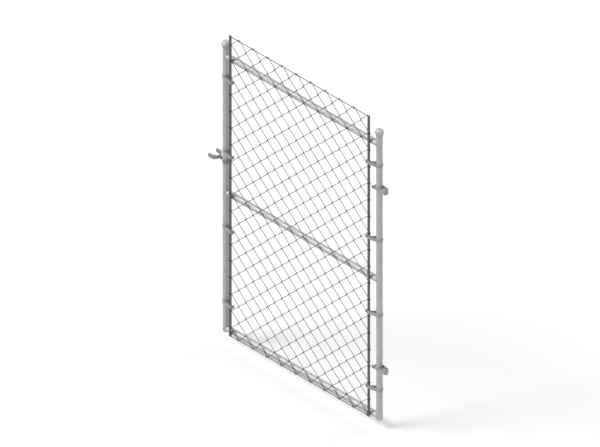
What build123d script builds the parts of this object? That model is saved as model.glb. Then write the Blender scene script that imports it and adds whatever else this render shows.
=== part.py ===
from build123d import *
import math
import os

# A chain link walk gate leaf: a tube frame with dome caps, a woven wire fabric held by
# tension bars and bands, two hinge eyes on one stile and a lifting fork latch on the other.
# X runs along the gate towards the hinges, Y away from the fabric side, Z up.
# The origin is on the flat underside of the lower hinge pin's foot, on the swing axis.

# Tube frame
TUBE_OD = 33.4
TUBE_WALL = 1.65
LEAF_WIDTH = 1117.4
STILE_LENGTH = 1745.0
TOP_RAIL_DROP = 65.0
COPE_GAP = 0.2

# Dome caps
CAP_DOME_D = 45.6
CAP_DOME_RISE = 6.5
CAP_SHOULDER_D = 41.0
CAP_SKIRT_D = 38.0
CAP_SKIRT_DEPTH = 14.5
CAP_EDGE = 0.8
CAP_WALL = 6.2
CAP_FIT = 0.2

# Woven fabric
WIRE_D = 3.05
DIAMOND = 101.6
FABRIC_FOOT = 6.0
FABRIC_RISE = 89.8
FABRIC_GAP = 0.3
KNEE_RISE = 2.0
KNUCKLE_SPREAD = 3.6
KNUCKLE_TAIL = 7.0
WIRE_CLEARANCE = 0.3
TENSION_WIRE_D = 3.76

# Tension bars and bands
BAR_WIDTH = 16.0
BAR_THICKNESS = 4.8
BAR_CORNER = 1.0
BAR_OFFSET = 53.0
BAR_OVERHANG = 5.0
BAND_THICKNESS = 2.0
BAND_HEIGHT = 19.0
BAND_COUNT = 4
BAND_FROM_FOOT = 184.0
BAND_FROM_TOP = 190.0
BAND_PINCH = 40.0
BAND_SEAT = 0.1
BAND_BOLT_D = 7.9

# Clamps and their bolts
CLAMP_FIT = 0.2
BOLT_FIT = 0.5

# Hinges
HINGE_FROM_FOOT = 316.0
HINGE_FROM_TOP = 330.0
EYE_OFFSET = 42.5
EYE_OD = 30.0
EYE_HEIGHT = 21.0
HINGE_STRAP = 2.4
HINGE_STRAP_HEIGHT = 19.0
HINGE_BOLT_OFFSET = 27.0
HINGE_BOLT_D = 9.5
PIN_D = 15.9
PIN_FIT = 0.1
PIN_CROWN = 2.0
PIN_CHAMFER = 1.5
FOOT_D = 24.0
FOOT_HEIGHT = 7.5
FOOT_GAP = 0.3

# Fork latch
LATCH_UNDER_BAND = 56.2
COLLAR_STRAP = 2.5
COLLAR_HEIGHT = 25.0
PIVOT_OFFSET = 33.0
PIVOT_PIN_D = 8.0
PIVOT_FIT = 0.1
PIVOT_HEAD_D = 14.0
PIVOT_HEAD = 3.0
PIVOT_TAIL_D = 11.0
PIVOT_TAIL = 2.0
EAR_RADIUS = 8.0
EAR_SIDE_GAP = 0.6
FORK_GAP = 51.0
FORK_STRAP = 5.0
FORK_HEIGHT = 24.0
FORK_REACH = 97.0
FORK_LUG = 5.0
FORK_LUG_RADIUS = 7.0
FORK_EAR_CLEARANCE = 1.6
FORK_TIP_RADIUS = 9.0
FORK_TAPER = 28.0

# Places that follow from the sizes
TUBE_R = TUBE_OD / 2
HALF_DIAMOND = DIAMOND / 2
HINGE_STILE_X = -EYE_OFFSET
LATCH_STILE_X = HINGE_STILE_X - (LEAF_WIDTH - TUBE_OD)
STILE_FOOT = FOOT_HEIGHT + FOOT_GAP + EYE_HEIGHT / 2 - HINGE_FROM_FOOT
STILE_TOP = STILE_FOOT + STILE_LENGTH
HINGE_SPACING = STILE_LENGTH - HINGE_FROM_FOOT - HINGE_FROM_TOP
BOTTOM_RAIL_Z = STILE_FOOT + TUBE_R
TOP_RAIL_Z = STILE_TOP - TOP_RAIL_DROP
MIDDLE_RAIL_Z = (BOTTOM_RAIL_Z + TOP_RAIL_Z) / 2
WIRE_R = WIRE_D / 2
DIAMONDS_HIGH = round((STILE_LENGTH + FABRIC_RISE - FABRIC_FOOT) / DIAMOND)
PICKET_COUNT = int((LEAF_WIDTH - TUBE_OD - 2 * BAR_OFFSET) / HALF_DIAMOND)
LOOP_HALF_DEPTH = BAR_THICKNESS / 2 + WIRE_CLEARANCE + WIRE_R
HOOK_REACH = (WIRE_D + WIRE_CLEARANCE) / 2
HOOK_RISE = HOOK_REACH / 2
FABRIC_Y = -(TUBE_R + FABRIC_GAP + WIRE_R + LOOP_HALF_DEPTH)
FABRIC_BOTTOM = STILE_FOOT + FABRIC_FOOT
FABRIC_TOP = FABRIC_BOTTOM + DIAMONDS_HIGH * DIAMOND
FABRIC_LEFT = (LATCH_STILE_X + HINGE_STILE_X - PICKET_COUNT * HALF_DIAMOND) / 2
BAR_XS = (LATCH_STILE_X + BAR_OFFSET, HINGE_STILE_X - BAR_OFFSET)
BAND_BOLT_OFFSET = BAR_OFFSET + BAR_WIDTH / 2 + WIRE_CLEARANCE + BAND_BOLT_D / 2
BAND_PITCH = (STILE_LENGTH - BAND_FROM_FOOT - BAND_FROM_TOP) / (BAND_COUNT - 1)
PIVOT_X = LATCH_STILE_X - PIVOT_OFFSET
UP = (Align.CENTER, Align.CENTER, Align.MIN)
DOWN = (Align.CENTER, Align.CENTER, Align.MAX)


def band_height(number):
    """The height of a band: evenly spaced, then midway between turns of the fabric."""
    even = BAND_FROM_FOOT + number * BAND_PITCH
    turns_below = round((even - FABRIC_FOOT) / HALF_DIAMOND - 0.5)
    return FABRIC_BOTTOM + (turns_below + 0.5) * HALF_DIAMOND


def tube(length):
    """A frame tube that stands on the ground plane."""
    return extrude(Circle(TUBE_R) - Circle(TUBE_R - TUBE_WALL), length)


def stile(x):
    """An upright of the frame."""
    return Pos(x, 0, STILE_FOOT) * tube(STILE_LENGTH)


def rail(z):
    """A tube between the stiles, its ends coped to their round sides."""
    run = Pos(LATCH_STILE_X, 0, z) * Rot(0, 90, 0) * tube(HINGE_STILE_X - LATCH_STILE_X)
    cope = Cylinder(TUBE_R + COPE_GAP, 4 * TUBE_R)
    return run - Pos(LATCH_STILE_X, 0, z) * cope - Pos(HINGE_STILE_X, 0, z) * cope


def dome_cap(x):
    """A hollow dome over a shoulder and a skirt that slips over the top of a stile."""
    dome_r = CAP_DOME_D / 2
    skirt = Cylinder(CAP_SKIRT_D / 2, CAP_SKIRT_DEPTH, align=DOWN)
    shoulder = Cylinder(CAP_SHOULDER_D / 2, CAP_DOME_RISE, align=UP)
    shoulder = chamfer(shoulder.edges().group_by(Axis.Z)[0], CAP_EDGE)
    rim = Pos(0, 0, CAP_DOME_RISE) * Cylinder(dome_r, CAP_EDGE, align=DOWN)
    dome = Pos(0, 0, CAP_DOME_RISE) * Sphere(dome_r, arc_size1=0, align=UP)
    socket = Cylinder(TUBE_R + CAP_FIT, 2 * CAP_SKIRT_DEPTH, align=DOWN)
    core_r = math.sqrt((dome_r - CAP_WALL) ** 2 - CAP_DOME_RISE**2)
    core_height = CAP_DOME_RISE + math.sqrt((dome_r - CAP_WALL) ** 2 - core_r**2 / 4)
    core = Cone(core_r, core_r / 2, core_height, align=UP)
    return Pos(x, 0, STILE_TOP + CAP_FIT) * (skirt + shoulder + rim + dome - socket - core)


def hook(x, z, side):
    """The points where a picket passes between front and back and hooks its neighbour."""
    reach = x + side * HOOK_REACH
    return [(reach, -side * LOOP_HALF_DEPTH, z - HOOK_RISE), (reach, side * LOOP_HALF_DEPTH, z + HOOK_RISE)]


def bar_loop(x, z, side):
    """The points where an outermost picket passes round its tension bar."""
    bar_x = BAR_XS[0] if side < 0 else BAR_XS[1]
    reach = bar_x + side * (BAR_WIDTH / 2 + WIRE_CLEARANCE + WIRE_R)
    knee_in = (x, -side * LOOP_HALF_DEPTH, z - KNEE_RISE)
    knee_out = (x, side * LOOP_HALF_DEPTH, z + KNEE_RISE)
    turn = [(reach, y, z + rise) for y, rise in zip((knee_in[1], knee_out[1]), (-HOOK_RISE, HOOK_RISE))]
    return [knee_in] + turn + [knee_out]


def picket_points(index):
    """The centre line of one picket: a zigzag whose ends knuckle over the tension wires."""
    lines = {-1: FABRIC_LEFT + index * HALF_DIAMOND, 1: FABRIC_LEFT + (index + 1) * HALF_DIAMOND}
    on_bar = {-1: index == 0, 1: index == PICKET_COUNT - 1}
    end = 1 if index % 2 == 0 else -1
    end_x = lines[end] - end * KNUCKLE_SPREAD
    wrap = TENSION_WIRE_D / 2 + WIRE_CLEARANCE + WIRE_R
    tail_y = -end * LOOP_HALF_DEPTH
    points = [(end_x, tail_y, KNUCKLE_TAIL), (end_x, tail_y, -wrap), (end_x, -tail_y, -wrap)]
    for turn in range(1, 2 * DIAMONDS_HIGH):
        side = end if turn % 2 == 0 else -end
        make_turn = bar_loop if on_bar[side] else hook
        points += make_turn(lines[side], turn * HALF_DIAMOND, side)
    top = DIAMONDS_HIGH * DIAMOND
    points += [(end_x, tail_y, top + wrap), (end_x, -tail_y, top + wrap)]
    points.append((end_x, -tail_y, top - KNUCKLE_TAIL))
    return points


def picket(index):
    """One wire of the fabric, a square that just fits inside the round wire."""
    points = [Vector(x, FABRIC_Y + y, FABRIC_BOTTOM + z) for x, y, z in picket_points(index)]
    start = Plane(origin=points[0], x_dir=(1, 0, 0), z_dir=points[1] - points[0])
    return sweep(start * RegularPolygon(WIRE_R, 4), path=Polyline(*points), transition=Transition.RIGHT)


def fabric():
    """All pickets, each screwed into the next."""
    return Compound([picket(index).solid() for index in range(PICKET_COUNT)])


def tension_wire(z):
    """The straight wire that the fabric's knuckles hang on, from bar to bar."""
    start, end = (BAR_XS[0] + BAR_WIDTH / 2 + WIRE_CLEARANCE, BAR_XS[1] - BAR_WIDTH / 2 - WIRE_CLEARANCE)
    return Pos(start, FABRIC_Y, z) * Rot(0, 90, 0) * Cylinder(TENSION_WIRE_D / 2, end - start, align=UP)


def tension_bar(x):
    """The flat bar threaded down the fabric's end loops."""
    section = RectangleRounded(BAR_WIDTH, BAR_THICKNESS, BAR_CORNER)
    length = FABRIC_TOP - FABRIC_BOTTOM + 2 * BAR_OVERHANG
    return Pos(x, FABRIC_Y, FABRIC_BOTTOM - BAR_OVERHANG) * extrude(section, length)


def tangent_point(x, y, radius, side):
    """Where a line from a point touches a circle round the origin, on one side or the other."""
    lean = math.acos(radius / math.hypot(x, y))
    angle = math.atan2(y, x) + side * lean
    return (radius * math.cos(angle), radius * math.sin(angle))


def round_end(x, direction, height):
    """What to cut away so that a flat strap ends in a half circle about x."""
    beyond = Pos(x + direction * height, 0, 0) * Box(2 * height, 4 * height, 2 * height)
    return beyond - Pos(x, 0, 0) * Rot(90, 0, 0) * Cylinder(height / 2, 8 * height)


def cross_hole(x, diameter):
    """A hole along Y."""
    return Pos(x, 0, 0) * Rot(90, 0, 0) * Cylinder(diameter / 2, 4 * TUBE_OD)


def band():
    """A bevelled band for a stile at the origin, its legs closing on a bar towards +X."""
    radius = TUBE_R + CLAMP_FIT + BAND_THICKNESS / 2
    leg_offset = BAR_THICKNESS / 2 + BAND_SEAT + BAND_THICKNESS / 2
    front, back = FABRIC_Y - leg_offset, FABRIC_Y + leg_offset
    tip = BAND_BOLT_OFFSET + BAND_HEIGHT / 2
    front_touch = tangent_point(BAND_PINCH, front, radius, -1)
    back_touch = tangent_point(BAND_PINCH, back, radius, 1)
    front_leg = [Line((tip, front), (BAND_PINCH, front)), Line((BAND_PINCH, front), front_touch)]
    back_leg = [Line(back_touch, (BAND_PINCH, back)), Line((BAND_PINCH, back), (tip, back))]
    wrap = ThreePointArc(front_touch, (-radius, 0), back_touch)
    centre_line = Wire([line.edge() for line in front_leg + [wrap] + back_leg])
    outline = offset(centre_line, BAND_THICKNESS / 2, kind=Kind.INTERSECTION, side=Side.BOTH, closed=True)
    strap = extrude(make_face(outline.edges()), BAND_HEIGHT / 2, both=True)
    strap -= round_end(BAND_BOLT_OFFSET, 1, BAND_HEIGHT)
    return strap - cross_hole(BAND_BOLT_OFFSET, BAND_BOLT_D + BOLT_FIT)


def belt(stile_r, eye_r):
    """The outline stretched round a circle about the stile and one about the swing axis."""
    return make_hull([(Pos(-EYE_OFFSET, 0) * Circle(stile_r)).edge(), Circle(eye_r).edge()])


def hinge_clamp():
    """A strap belted round a hinge eye and the stile, with two straight legs for a bolt."""
    bore_r = TUBE_R + CLAMP_FIT
    stile_r = bore_r + HINGE_STRAP
    eye_r = EYE_OD / 2
    leg_length = HINGE_BOLT_OFFSET + HINGE_STRAP_HEIGHT / 2
    legs = Pos(-EYE_OFFSET - leg_length / 2, 0) * Rectangle(leg_length, 2 * stile_r)
    within_legs = Pos(-EYE_OFFSET - leg_length, 0) * Rectangle(2 * leg_length, 2 * bore_r)
    plan = belt(stile_r, eye_r) + legs
    plan -= belt(bore_r, eye_r - HINGE_STRAP) + within_legs
    strap = extrude(plan, HINGE_STRAP_HEIGHT / 2, both=True)
    strap -= cross_hole(-EYE_OFFSET - HINGE_BOLT_OFFSET, HINGE_BOLT_D + BOLT_FIT)
    return strap + Cylinder(eye_r, EYE_HEIGHT) - Cylinder(PIN_D / 2 + PIN_FIT, 2 * EYE_HEIGHT)


def pintle():
    """A hinge pin on its round foot, standing on the ground plane."""
    pin_top = FOOT_HEIGHT + FOOT_GAP + EYE_HEIGHT + PIN_CROWN
    pin = Cylinder(PIN_D / 2, pin_top, align=UP)
    pin = chamfer(pin.edges().group_by(Axis.Z)[-1], PIN_CHAMFER)
    return Cylinder(FOOT_D / 2, FOOT_HEIGHT, align=UP) + pin


def side_hull(shapes, width):
    """A plate along Y whose outline is stretched round shapes drawn in the XZ plane."""
    outline = make_hull([edge for shape in shapes for edge in shape.edges()])
    return extrude(Plane.XZ * outline, width / 2, both=True)


def latch_collar():
    """A strap round the stile with two ears for the fork's pivot, the stile at the origin."""
    outer = TUBE_R + CLAMP_FIT + COLLAR_STRAP
    ear_gap = FORK_LUG + 2 * EAR_SIDE_GAP
    ring = Circle(outer) - Circle(outer - COLLAR_STRAP) - Pos(-TUBE_R, 0) * Rectangle(TUBE_R, ear_gap)
    ear_ends = [Pos(-TUBE_R, 0) * Circle(EAR_RADIUS), Pos(-PIVOT_OFFSET, 0) * Circle(EAR_RADIUS)]
    ear = side_hull(ear_ends, COLLAR_STRAP)
    ear_y = (ear_gap + COLLAR_STRAP) / 2
    collar = extrude(ring, COLLAR_HEIGHT / 2, both=True) + Pos(0, ear_y, 0) * ear + Pos(0, -ear_y, 0) * ear
    collar -= Cylinder(outer - COLLAR_STRAP, 2 * COLLAR_HEIGHT)
    return collar - cross_hole(-PIVOT_OFFSET, PIVOT_PIN_D + 2 * PIVOT_FIT)


def pivot_pin():
    """The rivet through the collar's ears, along Y, centred on the origin."""
    grip = FORK_LUG + 2 * EAR_SIDE_GAP + 2 * COLLAR_STRAP
    shank = Cylinder(PIVOT_PIN_D / 2, grip)
    head = Pos(0, 0, grip / 2) * Cylinder(PIVOT_HEAD_D / 2, PIVOT_HEAD, align=UP)
    tail = Pos(0, 0, -grip / 2) * Cylinder(PIVOT_TAIL_D / 2, PIVOT_TAIL, align=DOWN)
    return Rot(90, 0, 0) * (shank + head + tail)


def latch_fork():
    """The lifting fork, its pivot at the origin and its tines towards -X."""
    inner = FORK_GAP / 2
    bend_x = -(EAR_RADIUS + FORK_EAR_CLEARANCE + FORK_STRAP + inner)
    tip_x = -(FORK_REACH - PIVOT_OFFSET)
    bend = Pos(bend_x, 0) * (Circle(inner + FORK_STRAP) - Circle(inner))
    bend -= Pos(bend_x - 2 * inner, 0) * Rectangle(4 * inner, 4 * inner)
    tine = Pos((bend_x + tip_x) / 2, 0) * Rectangle(bend_x - tip_x, FORK_STRAP)
    tine_y = inner + FORK_STRAP / 2
    lug_end = bend_x + inner + FORK_STRAP / 2
    lug = Pos((lug_end + FORK_LUG_RADIUS) / 2, 0) * Rectangle(FORK_LUG_RADIUS - lug_end, FORK_LUG)
    plan = bend + Pos(0, tine_y) * tine + Pos(0, -tine_y) * tine + lug
    tip = Pos(tip_x + FORK_TIP_RADIUS, 0) * Circle(FORK_TIP_RADIUS)
    tip_z = FORK_HEIGHT / 2 - FORK_TIP_RADIUS
    body_end = -FORK_TAPER
    body_start = tip_x + FORK_TIP_RADIUS
    body = Pos((body_end + body_start) / 2, 0) * Rectangle(body_end - body_start, FORK_HEIGHT)
    outline = [Circle(FORK_LUG_RADIUS), body, Pos(0, tip_z) * tip, Pos(0, -tip_z) * tip]
    fork = extrude(plan, FORK_HEIGHT, both=True) & side_hull(outline, 4 * FORK_GAP)
    return fork - cross_hole(0, PIVOT_PIN_D + 2 * PIVOT_FIT)


def build():
    """Every piece in its place, by node name."""
    latch_z = band_height(BAND_COUNT - 2) - LATCH_UNDER_BAND
    latch_place = Pos(LATCH_STILE_X, 0, latch_z)
    pivot_place = Pos(PIVOT_X, 0, latch_z)
    pieces = {
        "latch_stile": stile(LATCH_STILE_X),
        "hinge_stile": stile(HINGE_STILE_X),
        "bottom_rail": rail(BOTTOM_RAIL_Z),
        "middle_rail": rail(MIDDLE_RAIL_Z),
        "top_rail": rail(TOP_RAIL_Z),
        "latch_stile_cap": dome_cap(LATCH_STILE_X),
        "hinge_stile_cap": dome_cap(HINGE_STILE_X),
        "chain_link_fabric": fabric(),
        "bottom_tension_wire": tension_wire(FABRIC_BOTTOM),
        "top_tension_wire": tension_wire(FABRIC_TOP),
        "latch_side_tension_bar": tension_bar(BAR_XS[0]),
        "hinge_side_tension_bar": tension_bar(BAR_XS[1]),
        "latch_collar": latch_place * latch_collar(),
        "latch_pivot_pin": pivot_place * pivot_pin(),
        "latch_fork": pivot_place * latch_fork(),
    }
    latch_band = band()
    hinge_band = mirror(latch_band, about=Plane.YZ)
    for number in range(BAND_COUNT):
        pieces[f"latch_side_band_{number + 1}"] = Pos(LATCH_STILE_X, 0, band_height(number)) * latch_band
        pieces[f"hinge_side_band_{number + 1}"] = Pos(HINGE_STILE_X, 0, band_height(number)) * hinge_band
    for name, pintle_z in (("lower", 0), ("upper", HINGE_SPACING)):
        eye_z = pintle_z + FOOT_HEIGHT + FOOT_GAP + EYE_HEIGHT / 2
        pieces[f"{name}_pintle"] = Pos(0, 0, pintle_z) * pintle()
        pieces[f"{name}_hinge_clamp"] = Pos(0, 0, eye_z) * hinge_clamp()
    return pieces


def main():
    os.makedirs("parts", exist_ok=True)
    for name, piece in build().items():
        export_step(piece, f"parts/{name}.step")


if __name__ == "__main__":
    main()
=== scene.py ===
"""A chain link gate leaf: round woven wire, bolts, nuts, weld beads, zinc finishes, lamps and camera."""

import math
from typing import NamedTuple

import bpy
from mathutils import Matrix, Vector


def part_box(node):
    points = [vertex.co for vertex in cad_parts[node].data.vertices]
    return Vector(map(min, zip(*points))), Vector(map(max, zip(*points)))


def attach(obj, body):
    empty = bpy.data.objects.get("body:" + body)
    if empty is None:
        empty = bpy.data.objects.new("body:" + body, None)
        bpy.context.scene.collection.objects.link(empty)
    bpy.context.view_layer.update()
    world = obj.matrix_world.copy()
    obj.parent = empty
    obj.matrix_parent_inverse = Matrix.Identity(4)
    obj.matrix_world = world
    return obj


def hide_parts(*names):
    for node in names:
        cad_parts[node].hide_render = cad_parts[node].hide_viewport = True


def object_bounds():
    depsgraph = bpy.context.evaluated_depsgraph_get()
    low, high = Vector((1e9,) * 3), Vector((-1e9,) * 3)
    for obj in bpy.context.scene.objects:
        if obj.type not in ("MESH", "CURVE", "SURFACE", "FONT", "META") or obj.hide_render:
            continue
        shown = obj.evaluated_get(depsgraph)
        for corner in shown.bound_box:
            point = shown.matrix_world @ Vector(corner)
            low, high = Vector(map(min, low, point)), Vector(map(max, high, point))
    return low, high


class Bolt(NamedTuple):
    """A domed bolt and its nut."""

    shank_r: float
    head_r: float
    dome: float
    across_flats: float
    nut_height: float
    pitch: float


class Patches(NamedTuple):
    """Soft patches of noise: spots a metre, detail, least and most strength, and where they fade in."""

    spots: float
    detail: float
    least: float
    most: float
    at: tuple


class Zinc(NamedTuple):
    """A galvanised finish, with its crystals and its streaks along X, Y and Z counted a metre."""

    shade: float
    spread: float
    crystals: float
    streaks: tuple
    roughness: tuple
    metallic: float = 0.45
    rub: float = 0.0


class Lamp(NamedTuple):
    """A far lamp: its place from the view's target, its width in degrees and its strength."""

    name: str
    place: tuple
    width: float
    strength: float


# The leaf's two sides, and the way along X from each to the middle
SIDES = (("latch", 1), ("hinge", -1))

# Woven wire and tension bars, as in the solids
PICKET_COUNT = 19
DIAMONDS_HIGH = 18
DIAMOND = 0.1016
HALF_DIAMOND = DIAMOND / 2
WIRE_R = 0.001525
TENSION_WIRE_R = 0.00188
WIRE_CLEARANCE = 0.0003
BAR_WIDTH = 0.016
BAR_THICKNESS = 0.0048
LOOP_HALF_DEPTH = BAR_THICKNESS / 2 + WIRE_CLEARANCE + WIRE_R
HOOK_REACH = WIRE_R + WIRE_CLEARANCE / 2
HOOK_RISE = HOOK_REACH / 2
KNEE_RISE = 0.002
KNUCKLE_SPREAD = 0.0036
KNUCKLE_TAIL = 0.007

# Bends of the round wire, each of which takes less than half of the straight runs beside it
BEND_RADIUS = 0.003
BEND_STEPS = 4
BEND_SHARE = 0.49
WIRE_SIDES = 8

# Bands and hinge clamps, as in the solids
BAND_COUNT = 4
BAND_THICKNESS = 0.002
BAND_SEAT = 0.0001
BAND_BOLT_NOMINAL_R = 0.00395
BAND_BOLT_TO_BAR = BAR_WIDTH / 2 + WIRE_CLEARANCE + BAND_BOLT_NOMINAL_R
BAND_LEG_HALF_SPREAD = BAR_THICKNESS / 2 + BAND_SEAT + BAND_THICKNESS
TUBE_R = 0.0167
CLAMP_FIT = 0.0002
HINGE_STRAP = 0.0024
HINGE_LEG_HALF_SPREAD = TUBE_R + CLAMP_FIT + HINGE_STRAP
HINGE_BOLT_OFFSET = 0.027

# Bolts and nuts
BAND_BOLT = Bolt(
    shank_r=0.0039, head_r=0.0082, dome=0.0031, across_flats=0.0127, nut_height=0.0067, pitch=0.00141
)
HINGE_BOLT = Bolt(
    shank_r=0.0047, head_r=0.0092, dome=0.0042, across_flats=0.0143, nut_height=0.0083, pitch=0.00159
)
BOLT_STICK_OUT = 0.0026
BOLT_SIDES = 24
BOLT_TIP_SHARE = 0.4
BOLT_SHARP_ANGLE = 40
DOME_STEPS = 7
THREAD_DEPTH = 0.0005
NUT_SIDES = 36
NUT_FACE_SHARE = 0.97
NUT_CHAMFER_ANGLE = 30
NUT_SHARP_ANGLE = 25

# Weld beads along the rails' ends, with a fine and a slow ripple of so much turn a station
BEAD_R = 0.0017
BEAD_SIDES = 8
BEAD_STATIONS = 96
BEAD_OVER_FOOT = 1.25 * BEAD_R
FINE_RIPPLE = 0.00016
FINE_RIPPLE_TURN = 2.1
SLOW_RIPPLE = 0.00014
SLOW_RIPPLE_TURN = 0.37
RIPPLE_SHIFT_A_METRE = 9

# Tacks of the tension wires on the bars, as (radius, height) pairs
TACK_R = 0.0026
TACK_PROFILE = (
    (0.9 * TACK_R, -0.0002),
    (TACK_R, 0.0001),
    (0.88 * TACK_R, 0.0005),
    (TENSION_WIRE_R, 0.0009),
)
TACK_SIDES = 16

# Softened edges of pressed and cast pieces
SOFT_WORDS = ("band", "clamp", "collar", "cap", "pintle", "pin")
MERGE_REACH = 0.000002
EDGE_WIDTH = 0.00035
EDGE_SEGMENTS = 2
EDGE_ANGLE = 50

# Rubbed edges: how far the rub reaches, how much the surface turns there, and what it does
RUB_REACH = 0.002
RUB_TURN = (0.82, 0.97)
RUB_SAMPLES = 6
RUB_PATCHES = Patches(spots=180, detail=4, least=0.25, most=1.0, at=(0.35, 0.6))
RUB_SHADE = 1.3
RUB_LIFT = 0.16
RUB_POLISH = 0.14

# Zinc: a cold grey, and the layers on it, whose shades are shares of the finish's own
COLD_RED = 0.985
COLD_BLUE = 1.02
SPANGLE_AT = (0.2, 0.8)
STREAK_AMOUNT = 0.35
STREAK_SHADES = (0.8, 1.12)
STREAK_AT = (0.3, 0.7)
BLOOM = Patches(spots=14, detail=5, least=0.0, most=0.55, at=(0.5, 0.72))
BLOOM_SHADE = 1.18
BLOOM_WARMTH = 0.01
BLOOM_ROUGHNESS = 0.18
GRIME = Patches(spots=7, detail=6, least=0.0, most=0.4, at=(0.55, 0.8))
GRIME_SHADE = 0.72
GRIME_WARMTH = 0.02
GRAIN_SPOTS = 420
GRAIN_SHARE = 0.6
ZINC_RELIEF = 0.00015
BUMP_STRENGTH = 0.6

# The mix node's sockets for a colour: the amount and both colours, and the result
MIX_INPUTS = (0, 6, 7)
MIX_OUTPUT = 2

# Galvanised finishes, the drawn ones streaked along their length
ZINCS = {
    "stile": Zinc(0.5, 0.075, 150, (900, 900, 25), (0.44, 0.6)),
    "rail": Zinc(0.5, 0.075, 150, (25, 900, 900), (0.44, 0.6)),
    "strap": Zinc(0.36, 0.065, 260, (160, 160, 160), (0.34, 0.5), rub=0.75),
    "bar": Zinc(0.1, 0.025, 220, (700, 700, 20), (0.36, 0.52), rub=0.45),
    "wire": Zinc(0.055, 0.012, 380, (300, 300, 300), (0.42, 0.56)),
    "tension_wire": Zinc(0.06, 0.012, 380, (25, 900, 900), (0.4, 0.54)),
    "latch": Zinc(0.28, 0.06, 240, (200, 200, 200), (0.32, 0.48), rub=0.8),
    "pin": Zinc(0.2, 0.04, 500, (30, 900, 900), (0.26, 0.4), metallic=0.7, rub=0.6),
}

# The finish of each kind of piece
FINISH_OF_WORD = {
    "stile": "stile",
    "rail": "rail",
    "cap": "cap",
    "band": "strap",
    "clamp": "strap",
    "bar": "bar",
    "wire": "tension_wire",
    "fabric": "wire",
    "collar": "latch",
    "fork": "latch",
    "pin": "pin",
    "pintle": "pin",
}

# Cast caps
CAP_SKIN_SPOTS = 900
CAP_MOTTLE_SPOTS = 70
CAP_SHADES = (0.4, 0.55)
CAP_AT = (0.32, 0.7)
CAP_RUB = Patches(spots=26, detail=4, least=0.0, most=0.7, at=(0.56, 0.74))
CAP_RUBBED_SHADE = 0.62
CAP_ROUGHNESS = (0.42, 0.62)
CAP_POLISH = 0.16
CAP_METALLIC = 0.5
CAP_RELIEF = 0.0004

# Weld metal
WELD_LUMP_SPOTS = 650
WELD_MOTTLE_SPOTS = 240
WELD_SHADES = (0.22, 0.4)
WELD_AT = (0.35, 0.68)
WELD_ROUGHNESS = (0.5, 0.72)
WELD_METALLIC = 0.4
WELD_RELIEF = 0.0005

# Floor, light and view
FLOOR_GAP = 0.05
FLOOR_HALF_WIDTH = 9.0
FLOOR_SHADE = 0.8
FLOOR_GLOW = 0.3
ROOM_LIGHT = 0.28
LAMPS = (
    Lamp("key_light", (-2.2, -2.6, 3.6), width=24, strength=2.0),
    Lamp("side_light", (3.6, -1.2, 1.6), width=40, strength=0.3),
    Lamp("back_light", (0.6, 3.4, 2.2), width=40, strength=0.8),
)
VIEW_AZIMUTH = 45
VIEW_ELEVATION = 35.264
VIEW_SCALE = 2.9964
VIEW_TARGET = Vector((-0.6039, 0, 0.6168))
VIEW_DISTANCE = 8
VIEW_REACH = 50


def centre(node):
    low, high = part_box(node)
    return (low + high) / 2


def size(node):
    low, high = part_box(node)
    return high - low


def add_object(name, data):
    thing = bpy.data.objects.new(name, data)
    bpy.context.scene.collection.objects.link(thing)
    return thing


# Mesh building, where a form is a pair of vertices and faces

def circle(radius, sides, height):
    """Points round Z at one height."""
    turns = [math.tau * k / sides for k in range(sides)]
    return [Vector((radius * math.cos(turn), radius * math.sin(turn), height)) for turn in turns]


def ring_faces(count, sides, closed):
    """The faces between rings of vertices, with an end face at both ends if the rings don't close."""
    faces = []
    for i in range(count if closed else count - 1):
        near, far = i * sides, (i + 1) % count * sides
        for k in range(sides):
            after = (k + 1) % sides
            faces.append((near + k, near + after, far + after, far + k))
    if not closed:
        faces.append(tuple(reversed(range(sides))))
        faces.append(tuple(range((count - 1) * sides, count * sides)))
    return faces


def sweep(path, radii, sides, closed=False):
    """A round bar along a path, with a radius for each point."""
    count = len(path)
    vertices = []
    across = None
    for i, point in enumerate(path):
        before = path[i - 1] if i > 0 or closed else point
        after = path[(i + 1) % count] if i < count - 1 or closed else point
        along = (after - before).normalized()
        if across is None:
            across = along.orthogonal()
        across = (across - along * across.dot(along)).normalized()
        other = along.cross(across)
        for flat in circle(radii[i], sides, 0):
            vertices.append(point + across * flat.x + other * flat.y)
    return vertices, ring_faces(count, sides, closed)


def turned(profile, sides):
    """A closed turned form round Z, from (radius, height) pairs."""
    vertices = []
    for radius, height in profile:
        vertices += circle(radius, sides, height)
    return vertices, ring_faces(len(profile), sides, closed=False)


def rounded(points):
    """The same path with an arc in place of each corner."""
    path = [points[0]]
    for before, corner, after in zip(points, points[1:], points[2:]):
        back = (before - corner).normalized()
        on = (after - corner).normalized()
        half = back.angle(on) / 2
        room = BEND_SHARE * min((before - corner).length, (after - corner).length)
        trim = min(BEND_RADIUS / math.tan(half), room)
        arc_r = trim * math.tan(half)
        middle = corner + (back + on).normalized() * arc_r / math.sin(half)
        start = (corner + back * trim - middle).normalized()
        end = (corner + on * trim - middle).normalized()
        for step in range(BEND_STEPS + 1):
            path.append(middle + start.slerp(end, step / BEND_STEPS) * arc_r)
    path.append(points[-1])
    return path


def placed(form, matrix):
    vertices, faces = form
    return [matrix @ vertex for vertex in vertices], faces


def joined(forms):
    """Several forms in one."""
    vertices, faces = [], []
    for form_vertices, form_faces in forms:
        start = len(vertices)
        vertices += form_vertices
        faces += [tuple(start + index for index in face) for face in form_faces]
    return vertices, faces


def add_piece(name, forms, material):
    """A new piece that rides on the leaf, with the finish it is given."""
    vertices, faces = joined(forms)
    mesh = bpy.data.meshes.new(name)
    mesh.from_pydata(vertices, [], faces)
    mesh.validate()
    mesh.shade_smooth()
    mesh.materials.append(material)
    piece = add_object(name, mesh)
    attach(piece, "leaf")
    return piece


# Woven wire

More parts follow.
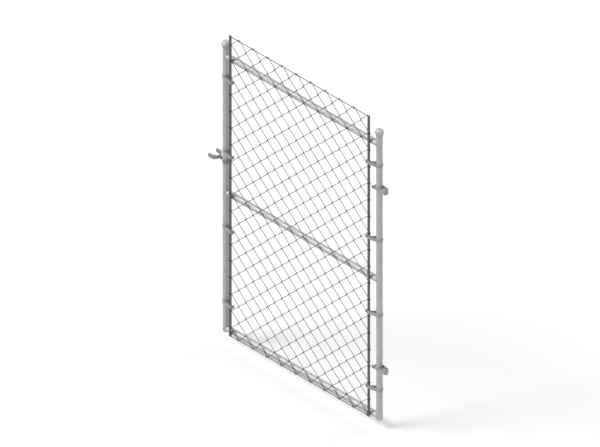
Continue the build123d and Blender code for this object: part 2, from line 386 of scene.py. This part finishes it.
def crossing(x, z, side, rise):
    """Where a picket passes between front and back."""
    depth = side * LOOP_HALF_DEPTH
    return [(x, -depth, z - rise), (x, depth, z + rise)]


def hook(x, z, side):
    """Where a picket hooks its neighbour."""
    return crossing(x + side * HOOK_REACH, z, side, HOOK_RISE)


def bar_loop(x, z, side):
    """Where an outermost picket passes round its tension bar."""
    bar = "latch_side_tension_bar" if side < 0 else "hinge_side_tension_bar"
    reach = centre(bar).x + side * (size(bar).x / 2 + WIRE_CLEARANCE + WIRE_R)
    knee_in, knee_out = crossing(x, z, side, KNEE_RISE)
    return [knee_in, *crossing(reach, z, side, HOOK_RISE), knee_out]


def picket_corners(index, left, foot):
    """The centre line of one picket: a zigzag whose ends knuckle over the tension wires."""
    lines = {-1: left + index * HALF_DIAMOND, 1: left + (index + 1) * HALF_DIAMOND}
    on_bar = {-1: index == 0, 1: index == PICKET_COUNT - 1}
    end = 1 if index % 2 == 0 else -1
    end_x = lines[end] - end * KNUCKLE_SPREAD
    wrap = TENSION_WIRE_R + WIRE_CLEARANCE + WIRE_R
    tail_y = -end * LOOP_HALF_DEPTH
    corners = [(end_x, tail_y, KNUCKLE_TAIL), (end_x, tail_y, -wrap), (end_x, -tail_y, -wrap)]
    for turn in range(1, 2 * DIAMONDS_HIGH):
        side = end if turn % 2 == 0 else -end
        make_turn = bar_loop if on_bar[side] else hook
        corners += make_turn(lines[side], turn * HALF_DIAMOND, side)
    top = DIAMONDS_HIGH * DIAMOND
    corners += [(end_x, tail_y, top + wrap), (end_x, -tail_y, top + wrap)]
    corners.append((end_x, -tail_y, top - KNUCKLE_TAIL))
    return [foot + Vector(corner) for corner in corners]


def add_woven_wire(material):
    """All pickets as round wire with bent turns, in place of the plain fabric."""
    wire = centre("bottom_tension_wire")
    foot = Vector((0, wire.y, wire.z))
    stiles = centre("latch_stile").x + centre("hinge_stile").x
    left = (stiles - PICKET_COUNT * HALF_DIAMOND) / 2
    pickets = []
    for index in range(PICKET_COUNT):
        path = rounded(picket_corners(index, left, foot))
        pickets.append(sweep(path, [WIRE_R] * len(path), WIRE_SIDES))
    piece = add_piece("woven_wire", pickets, material)
    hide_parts("chain_link_fabric")


# Bolts and nuts

def carriage_bolt(kind, grip):
    """A domed bolt along Z, its head below the origin, the gripped plates from 0 to grip."""
    ball_r = (kind.head_r**2 + kind.dome**2) / (2 * kind.dome)
    profile = []
    for step in range(1, DOME_STEPS + 1):
        slope = math.asin(kind.head_r / ball_r) * step / DOME_STEPS
        profile.append((ball_r * math.sin(slope), ball_r * (1 - math.cos(slope)) - kind.dome))
    profile.append((kind.shank_r, 0))
    groove_r = kind.shank_r - THREAD_DEPTH
    z, end = grip, grip + kind.nut_height + BOLT_STICK_OUT
    while z < end - kind.pitch:
        profile += [(kind.shank_r, z), (groove_r, z + kind.pitch / 2)]
        z += kind.pitch
    profile += [(kind.shank_r, z), (groove_r, end), (kind.shank_r * BOLT_TIP_SHARE, end)]
    return turned(profile, BOLT_SIDES)


def nut_section(kind, turn):
    """The (radius, height) pairs of a chamfered hexagon nut in one direction from its axis."""
    flat_r = kind.across_flats / 2
    sector = math.tau / 6
    from_flat = (turn + sector / 2) % sector - sector / 2
    reach = flat_r / math.cos(from_flat)
    inner = min(reach, flat_r * NUT_FACE_SHARE)
    drop = (reach - inner) * math.tan(math.radians(NUT_CHAMFER_ANGLE))
    lower = [(kind.shank_r, 0), (inner, 0), (reach, drop)]
    upper = [(reach, kind.nut_height - drop), (inner, kind.nut_height), (kind.shank_r, kind.nut_height)]
    return lower + upper


def hex_nut(kind, grip):
    """A nut on the far side of the gripped plates."""
    turns = [math.tau * k / NUT_SIDES for k in range(NUT_SIDES)]
    vertices = []
    for ring in zip(*(nut_section(kind, turn) for turn in turns)):
        for turn, (radius, height) in zip(turns, ring):
            vertices.append(Vector((radius * math.cos(turn), radius * math.sin(turn), grip + height)))
    return vertices, ring_faces(len(vertices) // NUT_SIDES, NUT_SIDES, closed=True)


def across_gate(x, y, z):
    """Turns a form that stands on Z so that it points along +Y from that place."""
    return Matrix.Translation((x, y, z)) @ Matrix.Rotation(-math.pi / 2, 4, "X")


def band_places():
    """The bolt's place on the front leg of each band."""
    places = []
    for side, direction in SIDES:
        bar = centre(f"{side}_side_tension_bar")
        x = bar.x + direction * BAND_BOLT_TO_BAR
        for number in range(1, BAND_COUNT + 1):
            z = centre(f"{side}_side_band_{number}").z
            places.append(across_gate(x, bar.y - BAND_LEG_HALF_SPREAD, z))
    return places


def hinge_places():
    """The bolt's place on the front leg of each hinge clamp."""
    x = centre("hinge_stile").x - HINGE_BOLT_OFFSET
    heights = [centre(f"{end}_hinge_clamp").z for end in ("lower", "upper")]
    return [across_gate(x, -HINGE_LEG_HALF_SPREAD, z) for z in heights]


def add_bolts(name, kind, half_spread, places, material):
    """Bolts and nuts through pairs of plates."""
    grip = 2 * half_spread
    fasteners = (("bolts", carriage_bolt, BOLT_SHARP_ANGLE), ("nuts", hex_nut, NUT_SHARP_ANGLE))
    for what, make, sharp_angle in fasteners:
        forms = [placed(make(kind, grip), place) for place in places]
        piece = add_piece(f"{name}_{what}", forms, material)
        piece.data.set_sharp_from_angle(angle=math.radians(sharp_angle))


# Welds

def rail_bead(stile, rail, direction):
    """A rippled bead along the saddle where a rail meets a stile."""
    axis, height = centre(stile).x, centre(rail).z
    tube_r = size(stile).x / 2
    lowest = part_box(stile)[0].z + BEAD_OVER_FOOT
    path, radii = [], []
    for i in range(BEAD_STATIONS):
        turn = math.tau * i / BEAD_STATIONS
        rail_y = tube_r * math.sin(turn)
        x = math.sqrt(max(tube_r**2 - rail_y**2, 0))
        z = max(height + tube_r * math.cos(turn), lowest)
        path.append(Vector((axis + direction * x, rail_y, z)))
        fine = FINE_RIPPLE * math.sin(i * FINE_RIPPLE_TURN)
        slow = SLOW_RIPPLE * math.sin(i * SLOW_RIPPLE_TURN + height * RIPPLE_SHIFT_A_METRE)
        radii.append(BEAD_R + fine + slow)
    return sweep(path, radii, BEAD_SIDES, closed=True)


def wire_tack(bar, wire, direction):
    """A round tack where a tension wire ends on a bar."""
    x = centre(bar).x + direction * size(bar).x / 2
    turn = Matrix.Rotation(direction * math.pi / 2, 4, "Y")
    place = Matrix.Translation((x, centre(wire).y, centre(wire).z)) @ turn
    return placed(turned(TACK_PROFILE, TACK_SIDES), place)


def add_welds(material):
    beads, tacks = [], []
    for side, direction in SIDES:
        for level in ("bottom", "middle", "top"):
            beads.append(rail_bead(f"{side}_stile", f"{level}_rail", direction))
        for level in ("bottom", "top"):
            tacks.append(wire_tack(f"{side}_side_tension_bar", f"{level}_tension_wire", direction))
    add_piece("rail_weld_beads", beads, material)
    add_piece("tension_wire_welds", tacks, material)


def soften_edges(node):
    """Small rounded edges on a solid's piece, whose mesh stays as it is."""
    weld = node.modifiers.new("weld", "WELD")
    weld.merge_threshold = MERGE_REACH
    bevel = node.modifiers.new("edges", "BEVEL")
    bevel.width = EDGE_WIDTH
    bevel.segments = EDGE_SEGMENTS
    bevel.limit_method = "ANGLE"
    bevel.angle_limit = math.radians(EDGE_ANGLE)
    bevel.harden_normals = True


# Materials

def add_node(tree, kind, links=None, **settings):
    """A new node. Settings go to its attributes or sockets, and links to its sockets."""
    node = tree.nodes.new(kind)
    for key, value in settings.items():
        if hasattr(node, key):
            setattr(node, key, value)
        else:
            node.inputs[key].default_value = value
    for key, output in (links or {}).items():
        tree.links.new(output, node.inputs[key])
    return node


class Nodes:
    """A short way to write a material's node tree."""

    def __init__(self, name):
        self.material = bpy.data.materials.new(name)
        self.material.use_nodes = True
        self.tree = self.material.node_tree
        self.shader = self.tree.nodes["Principled BSDF"]
        self.coordinates = self.add("ShaderNodeTexCoord").outputs["Object"]

    def add(self, kind, links=None, **settings):
        return add_node(self.tree, kind, links, **settings)

    def fill(self, sockets, values):
        """Links each output among the values to its socket, and sets the others there."""
        for socket, value in zip(sockets, values):
            if isinstance(value, bpy.types.NodeSocket):
                self.tree.links.new(value, socket)
            else:
                socket.default_value = value

    def noise(self, spots, detail):
        """Noise from 0 to 1, in spots a metre: one number, or one for each axis."""
        vector, scale = self.coordinates, spots
        if isinstance(spots, tuple):
            vector = self.add("ShaderNodeMapping", {"Vector": self.coordinates}, Scale=spots).outputs[0]
            scale = 1
        return self.add("ShaderNodeTexNoise", {"Vector": vector}, Scale=scale, Detail=detail).outputs["Fac"]

    def cells(self, count):
        """A shade for each of so many crystal cells a metre."""
        return self.add("ShaderNodeTexVoronoi", {"Vector": self.coordinates}, Scale=count).outputs["Color"]

    def ramp(self, value, colours, at):
        """Maps a value between two colours."""
        node = self.add("ShaderNodeValToRGB", {"Fac": value})
        for element, place, colour in zip(node.color_ramp.elements, at, colours):
            element.position = place
            element.color = colour
        return node.outputs["Color"]

    def remap(self, value, low, high, at=(0, 1)):
        """Maps a value between two numbers."""
        node = self.add("ShaderNodeMapRange", {"Value": value})
        for key, number in zip(("From Min", "From Max", "To Min", "To Max"), (*at, low, high)):
            node.inputs[key].default_value = number
        return node.outputs["Result"]

    def patches(self, kind):
        return self.remap(self.noise(kind.spots, kind.detail), kind.least, kind.most, kind.at)

    def math(self, operation, first, second):
        node = self.add("ShaderNodeMath", operation=operation)
        self.fill(node.inputs, (first, second))
        return node.outputs[0]

    def plus(self, value, other, share):
        """A value plus a share of another."""
        return self.math("ADD", value, self.math("MULTIPLY", other, share))

    def blend(self, amount, first, second):
        """A mix of two colours."""
        node = self.add("ShaderNodeMix", data_type="RGBA")
        self.fill([node.inputs[index] for index in MIX_INPUTS], (amount, first, second))
        return node.outputs[MIX_OUTPUT]

    def edges(self):
        """1 along sharp edges, 0 on the faces between them."""
        near = self.add("ShaderNodeBevel", Radius=RUB_REACH, samples=RUB_SAMPLES).outputs["Normal"]
        here = self.add("ShaderNodeNewGeometry").outputs["Normal"]
        turn = self.add("ShaderNodeVectorMath", {0: near, 1: here}, operation="DOT_PRODUCT")
        return self.remap(turn.outputs["Value"], 1, 0, RUB_TURN)

    def finish(self, colour, roughness, relief, metallic, relief_height):
        """Connects colour, roughness and relief to the shader."""
        links = {"Height": relief}
        bump = self.add("ShaderNodeBump", links, Strength=BUMP_STRENGTH, Distance=relief_height)
        self.tree.links.new(colour, self.shader.inputs["Base Color"])
        self.tree.links.new(roughness, self.shader.inputs["Roughness"])
        self.tree.links.new(bump.outputs[0], self.shader.inputs["Normal"])
        self.shader.inputs["Metallic"].default_value = metallic
        return self.material


def tint(shade, warmth=0.0):
    """A grey a little on the cold side."""
    return (shade * (COLD_RED + warmth), shade, shade * (COLD_BLUE - warmth), 1)


def zinc(name, look):
    """Galvanised steel: crystal spangle, drawing streaks, bloom, grime, rubbed edges and a fine grain."""
    nodes = Nodes(f"{name}_zinc")
    crystals = nodes.cells(look.crystals)
    extremes = [tint(look.shade - look.spread), tint(look.shade + look.spread)]
    spangle = nodes.ramp(crystals, extremes, SPANGLE_AT)
    shades = [tint(look.shade * share) for share in STREAK_SHADES]
    streaks = nodes.ramp(nodes.noise(look.streaks, detail=4), shades, STREAK_AT)
    colour = nodes.blend(STREAK_AMOUNT, spangle, streaks)
    bloom = nodes.patches(BLOOM)
    colour = nodes.blend(bloom, colour, tint(look.shade * BLOOM_SHADE, BLOOM_WARMTH))
    colour = nodes.blend(nodes.patches(GRIME), colour, tint(look.shade * GRIME_SHADE, GRIME_WARMTH))
    roughness = nodes.plus(nodes.remap(crystals, *look.roughness), bloom, BLOOM_ROUGHNESS)
    if look.rub:
        strength = nodes.math("MULTIPLY", nodes.patches(RUB_PATCHES), look.rub)
        rubbed = nodes.math("MULTIPLY", nodes.edges(), strength)
        colour = nodes.blend(rubbed, colour, tint(look.shade * RUB_SHADE + RUB_LIFT))
        roughness = nodes.plus(roughness, rubbed, -RUB_POLISH)
    grain = nodes.plus(nodes.noise(look.streaks, detail=3), nodes.noise(GRAIN_SPOTS, detail=4), GRAIN_SHARE)
    return nodes.finish(colour, roughness, grain, look.metallic, ZINC_RELIEF)


def cast_aluminium():
    """Sand-cast caps: a pebbled skin, dull grey with brighter rubbed spots."""
    nodes = Nodes("cast_aluminium")
    skin = nodes.noise(CAP_SKIN_SPOTS, detail=5)
    shades = [tint(shade) for shade in CAP_SHADES]
    mottle = nodes.ramp(nodes.noise(CAP_MOTTLE_SPOTS, detail=5), shades, CAP_AT)
    rubbed = nodes.patches(CAP_RUB)
    colour = nodes.blend(rubbed, mottle, tint(CAP_RUBBED_SHADE))
    roughness = nodes.plus(nodes.remap(skin, *CAP_ROUGHNESS), rubbed, -CAP_POLISH)
    return nodes.finish(colour, roughness, skin, CAP_METALLIC, CAP_RELIEF)


def weld_metal():
    """Weld beads under sprayed zinc: dull, lumpy and mottled."""
    nodes = Nodes("weld_metal")
    lumps = nodes.noise(WELD_LUMP_SPOTS, detail=4)
    shades = [tint(shade) for shade in WELD_SHADES]
    colour = nodes.ramp(nodes.noise(WELD_MOTTLE_SPOTS, detail=5), shades, WELD_AT)
    return nodes.finish(colour, nodes.remap(lumps, *WELD_ROUGHNESS), lumps, WELD_METALLIC, WELD_RELIEF)


def make_finishes():
    finishes = {name: zinc(name, look) for name, look in ZINCS.items()}
    finishes["cap"] = cast_aluminium()
    finishes["weld"] = weld_metal()
    return finishes


def finish_for(node, finishes):
    """The finish that goes with the last of the node's words that has one."""
    words = [word for word in node.split("_") if word in FINISH_OF_WORD]
    return finishes[FINISH_OF_WORD[words[-1]]]


# Stage

def level_for_rays(tree, unseen, seen):
    """One level for rays that carry the background's light, and one for rays that show it."""
    rays = add_node(tree, "ShaderNodeLightPath").outputs
    links = {0: rays["Is Camera Ray"], 1: rays["Is Glossy Ray"]}
    first = add_node(tree, "ShaderNodeMath", links, operation="MAXIMUM")
    links = {0: first.outputs[0], 1: rays["Is Transmission Ray"]}
    second = add_node(tree, "ShaderNodeMath", links, operation="MAXIMUM")
    level = add_node(tree, "ShaderNodeMapRange", {"Value": second.outputs[0]})
    level.inputs["To Min"].default_value = unseen
    level.inputs["To Max"].default_value = seen
    return level.outputs["Result"]


def pale_floor():
    """A matt floor that keeps the shadow, and otherwise looks white."""
    material = bpy.data.materials.new("pale_floor")
    material.use_nodes = True
    tree = material.node_tree
    tree.nodes.clear()
    matt = add_node(tree, "ShaderNodeBsdfDiffuse", Color=(FLOOR_SHADE, FLOOR_SHADE, FLOOR_SHADE, 1))
    glow = add_node(tree, "ShaderNodeEmission", {"Strength": level_for_rays(tree, 0, FLOOR_GLOW)})
    both = add_node(tree, "ShaderNodeAddShader", {0: matt.outputs[0], 1: glow.outputs[0]})
    add_node(tree, "ShaderNodeOutputMaterial", {"Surface": both.outputs[0]})
    return material


def add_floor(low):
    """A floor a little under the leaf, which hangs on its pins."""
    left, right = VIEW_TARGET.x - FLOOR_HALF_WIDTH, VIEW_TARGET.x + FLOOR_HALF_WIDTH
    front, back = -FLOOR_HALF_WIDTH, FLOOR_HALF_WIDTH
    z = low.z - FLOOR_GAP
    corners = [(left, front, z), (right, front, z), (right, back, z), (left, back, z)]
    mesh = bpy.data.meshes.new("floor")
    mesh.from_pydata(corners, [], [(0, 1, 2, 3)])
    mesh.materials.append(pale_floor())
    add_object("floor", mesh)


def set_world():
    """An even white room that shows white and lights less."""
    world = bpy.data.worlds.new("white_room")
    bpy.context.scene.world = world
    world.use_nodes = True
    background = world.node_tree.nodes["Background"]
    background.inputs["Color"].default_value = (1, 1, 1, 1)
    level = level_for_rays(world.node_tree, ROOM_LIGHT, 1)
    world.node_tree.links.new(level, background.inputs["Strength"])


def add_lamp(lamp):
    data = bpy.data.lights.new(lamp.name, "SUN")
    data.angle = math.radians(lamp.width)
    data.energy = lamp.strength
    place = Vector(lamp.place)
    thing = add_object(lamp.name, data)
    thing.location = VIEW_TARGET + place
    thing.rotation_euler = (-place).to_track_quat("-Z", "Y").to_euler()


def add_camera():
    azimuth, elevation = math.radians(VIEW_AZIMUTH), math.radians(VIEW_ELEVATION)
    level = math.cos(elevation)
    back = Vector((math.sin(azimuth) * level, -math.cos(azimuth) * level, math.sin(elevation)))
    data = bpy.data.cameras.new("camera")
    data.type = "ORTHO"
    data.ortho_scale = VIEW_SCALE
    data.clip_end = VIEW_REACH
    camera = add_object("camera", data)
    camera.location = VIEW_TARGET + back * VIEW_DISTANCE
    camera.rotation_euler = (-back).to_track_quat("-Z", "Y").to_euler()
    bpy.context.scene.camera = camera


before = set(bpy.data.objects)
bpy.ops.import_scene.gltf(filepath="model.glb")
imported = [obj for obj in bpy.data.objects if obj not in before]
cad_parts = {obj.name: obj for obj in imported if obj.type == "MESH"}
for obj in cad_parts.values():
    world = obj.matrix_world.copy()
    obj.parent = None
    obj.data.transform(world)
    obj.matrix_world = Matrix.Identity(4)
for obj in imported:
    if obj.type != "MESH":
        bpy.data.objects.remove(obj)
cad_low, cad_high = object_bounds()
finishes = make_finishes()
for name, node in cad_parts.items():
    for material_slot in node.material_slots:
        material_slot.material = finish_for(name, finishes)
    if any(word in name.split("_") for word in SOFT_WORDS):
        soften_edges(node)
add_woven_wire(finishes["wire"])
add_bolts("band", BAND_BOLT, BAND_LEG_HALF_SPREAD, band_places(), finishes["pin"])
add_bolts("hinge", HINGE_BOLT, HINGE_LEG_HALF_SPREAD, hinge_places(), finishes["pin"])
add_welds(finishes["weld"])
add_floor(cad_low)
set_world()
for lamp in LAMPS:
    add_lamp(lamp)
add_camera()
bpy.context.scene.view_settings.view_transform = "Standard"
